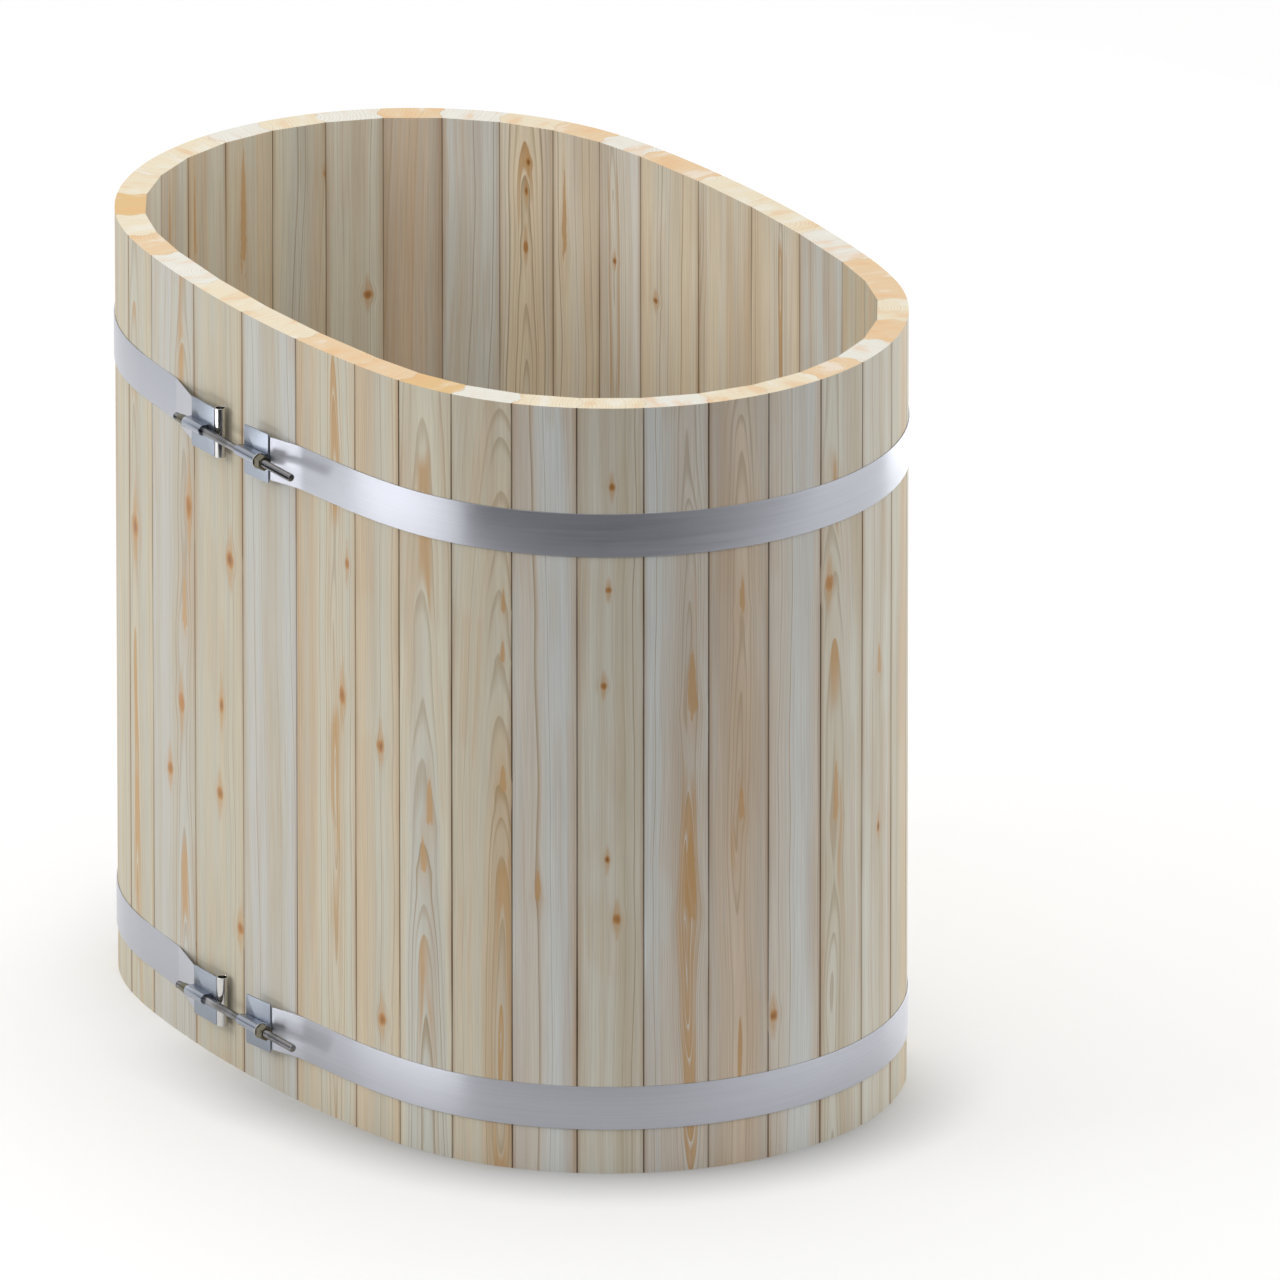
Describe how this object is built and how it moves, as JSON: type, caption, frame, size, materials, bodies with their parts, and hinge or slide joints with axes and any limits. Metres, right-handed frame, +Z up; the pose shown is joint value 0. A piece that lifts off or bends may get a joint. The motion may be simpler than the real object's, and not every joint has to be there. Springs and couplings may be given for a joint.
{
  "type": "oval wooden hot tub",
  "caption": "Deep oval plunge tub of upright wooden staves held by flat stainless hoops with screw tensioners, with a plank floor and a plugged floor drain.",
  "frame": {"origin": "middle of the whole part's footprint, on the ground that the staves stand on", "axes": "+X along the oval's length, +Y across it and away from the side with the hoop tensioners, +Z up"},
  "size_m": [1.2032, 0.8176, 1],
  "materials": {
    "stave_wood": "planed softwood, unfinished, with knots",
    "floor_wood": "planed softwood boards, unfinished",
    "batten_wood": "planed softwood, unfinished",
    "hoop_steel": "satin stainless strip, brushed along its length",
    "plate_steel": "satin stainless plate",
    "tube_steel": "polished stainless tube",
    "sleeve_steel": "turned stainless, satin",
    "stud_steel": "rolled stainless thread",
    "nut_steel": "plain nut, slightly oiled",
    "fastener_steel": "stamped stainless",
    "drain_steel": "satin stainless",
    "seal_rubber": "matt black rubber",
    "plug_rubber": "matt dark rubber"
  },
  "bodies": {
    "tub": {"stave_01": "stave_wood", "stave_02": "stave_wood", "stave_03": "stave_wood", "stave_04": "stave_wood", "stave_05": "stave_wood", "stave_06": "stave_wood", "stave_07": "stave_wood", "stave_08": "stave_wood", "stave_09": "stave_wood", "stave_10": "stave_wood", "stave_11": "stave_wood", "stave_12": "stave_wood", "stave_13": "stave_wood", "stave_14": "stave_wood", "stave_15": "stave_wood", "stave_16": "stave_wood", "stave_17": "stave_wood", "stave_18": "stave_wood", "stave_19": "stave_wood", "stave_20": "stave_wood", "stave_21": "stave_wood", "stave_22": "stave_wood", "stave_23": "stave_wood", "stave_24": "stave_wood", "stave_25": "stave_wood", "stave_26": "stave_wood", "stave_27": "stave_wood", "stave_28": "stave_wood", "stave_29": "stave_wood", "stave_30": "stave_wood", "stave_31": "stave_wood", "stave_32": "stave_wood", "stave_33": "stave_wood", "stave_34": "stave_wood", "stave_35": "stave_wood", "stave_36": "stave_wood", "floor_board_1": "floor_wood", "floor_board_2": "floor_wood", "floor_board_3": "floor_wood", "floor_board_4": "floor_wood", "floor_board_5": "floor_wood", "floor_batten_1": "batten_wood", "floor_batten_2": "batten_wood", "floor_screws": "fastener_steel", "upper_hoop": "hoop_steel", "lower_hoop": "hoop_steel", "left_end_plates": "plate_steel", "right_end_plates": "plate_steel", "end_tubes": "tube_steel", "left_sleeves": "sleeve_steel", "right_sleeves": "sleeve_steel", "tension_studs": "stud_steel", "drain_body": "drain_steel", "drain_gasket": "seal_rubber", "drain_back_nut": "drain_steel"},
    "upper_washer": {"upper_washer": "fastener_steel"},
    "upper_nut": {"upper_nut": "nut_steel"},
    "lower_washer": {"lower_washer": "fastener_steel"},
    "lower_nut": {"lower_nut": "nut_steel"},
    "drain_plug": {"drain_plug": "plug_rubber"}
  },
  "joints": [
    {"name": "upper_nut_travel", "type": "slide", "parent": "tub", "child": "upper_washer", "axis": [1, 0, 0], "range_m": [0, 0.06]},
    {"name": "upper_nut_spin", "type": "hinge", "parent": "upper_washer", "child": "upper_nut", "pos_m": [0.0896, -0.398, 0.835], "axis": [1, 0, 0], "range_deg": [0, 14400]},
    {"name": "lower_nut_travel", "type": "slide", "parent": "tub", "child": "lower_washer", "axis": [1, 0, 0], "range_m": [0, 0.06]},
    {"name": "lower_nut_spin", "type": "hinge", "parent": "lower_washer", "child": "lower_nut", "pos_m": [0.0896, -0.398, 0.086], "axis": [1, 0, 0], "range_deg": [0, 14400]},
    {"name": "plug_lift", "type": "slide", "parent": "tub", "child": "drain_plug", "axis": [0, 0, 1], "range_m": [0, 0.06]}
  ],
  "couplings": [
    {"joint": "upper_nut_travel", "follows": "upper_nut_spin", "m_per_rad": 0.00023873},
    {"joint": "lower_nut_travel", "follows": "lower_nut_spin", "m_per_rad": 0.00023873}
  ]
}
